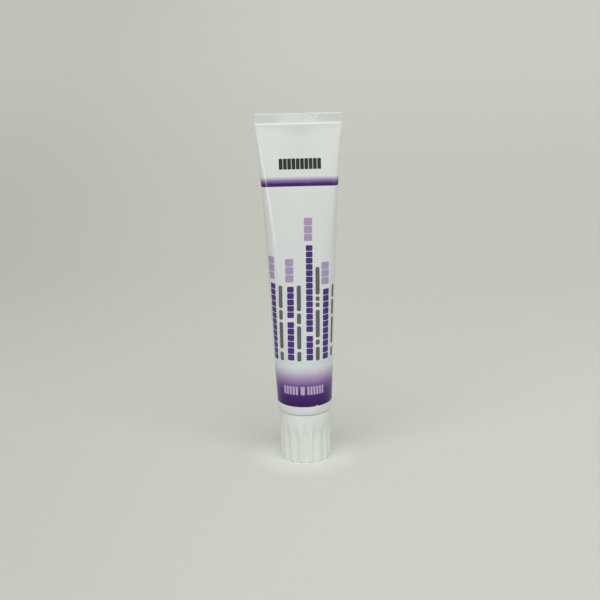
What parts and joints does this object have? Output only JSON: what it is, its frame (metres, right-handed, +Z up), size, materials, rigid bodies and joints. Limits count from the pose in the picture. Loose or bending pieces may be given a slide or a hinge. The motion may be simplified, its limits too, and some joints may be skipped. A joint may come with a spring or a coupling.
{
  "type": "prophy paste tube",
  "caption": "Squeeze tube of polishing paste, pressed flat at its crimped top, standing on a fluted screw cap that closes the neck.",
  "frame": {"origin": "middle of the flat closed end of the cap, on the surface that the tube stands on", "axes": "+Z up the tube from the cap to the crimp, +X along the crimp, -Y towards the printed front"},
  "size_m": [0.0434, 0.028, 0.1807],
  "materials": {
    "sleeve_film": "white printed film with a gloss varnish, violet bands and plain bars",
    "head_plastic": "natural white moulding",
    "paste": "soft gritty paste",
    "cap_plastic": "satin white moulding"
  },
  "bodies": {
    "cap": {"screw_cap": "cap_plastic"},
    "tube": {"tube_sleeve": "sleeve_film", "tube_head": "head_plastic", "paste_fill": "paste"}
  },
  "joints": [
    {"name": "tube_lift", "type": "slide", "parent": "cap", "child": "tube", "axis": [0, 0, 1], "range_m": [0, 0.022]}
  ]
}
